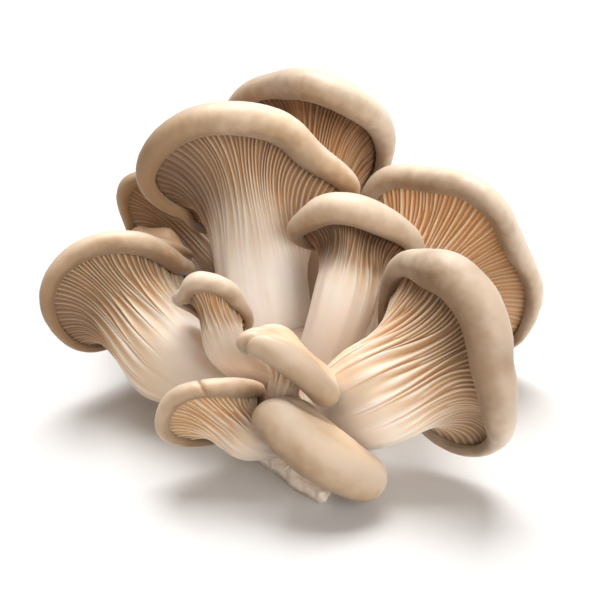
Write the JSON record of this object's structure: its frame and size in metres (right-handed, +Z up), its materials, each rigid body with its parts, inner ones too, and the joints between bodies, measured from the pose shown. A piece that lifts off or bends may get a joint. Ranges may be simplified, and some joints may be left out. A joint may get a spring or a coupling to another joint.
{
  "type": "oyster mushroom cluster",
  "caption": "Cluster of fresh oyster mushrooms grown from one trimmed base: fan-shaped tan caps with thick rolled rims over cream gills that run down the stems.",
  "frame": {"origin": "on the flat cut under the base, near its middle, at the level of the surface that the cluster lies on", "axes": "+Z up, -Y to the side that the gills look to, +X to the right when seen from that side"},
  "size_m": [0.1489, 0.1261, 0.0927],
  "materials": {
    "cap": "smooth suede-like mushroom skin, pale tan to grey-brown, paler along the crown of the rim",
    "stem": "moist cream flesh, gills with pale crests and orange-tan grooves",
    "base": "torn and cut off-white flesh"
  },
  "bodies": {
    "root": {"base": "base", "cap_top_left": "cap", "cap_top_back": "cap", "cap_right_back": "cap", "cap_middle": "cap", "cap_right_front": "cap", "cap_left": "cap", "cap_small_centre": "cap", "cap_bean": "cap", "cap_front_left": "cap", "cap_front": "cap", "cap_back_left": "cap", "cap_tucked": "cap", "stem_top_left": "stem", "stem_top_back": "stem", "stem_right_back": "stem", "stem_middle": "stem", "stem_right_front": "stem", "stem_left": "stem", "stem_small_centre": "stem", "stem_bean": "stem", "stem_front_left": "stem", "stem_front": "stem", "stem_back_left": "stem", "stem_tucked": "stem"}
  },
  "joints": []
}
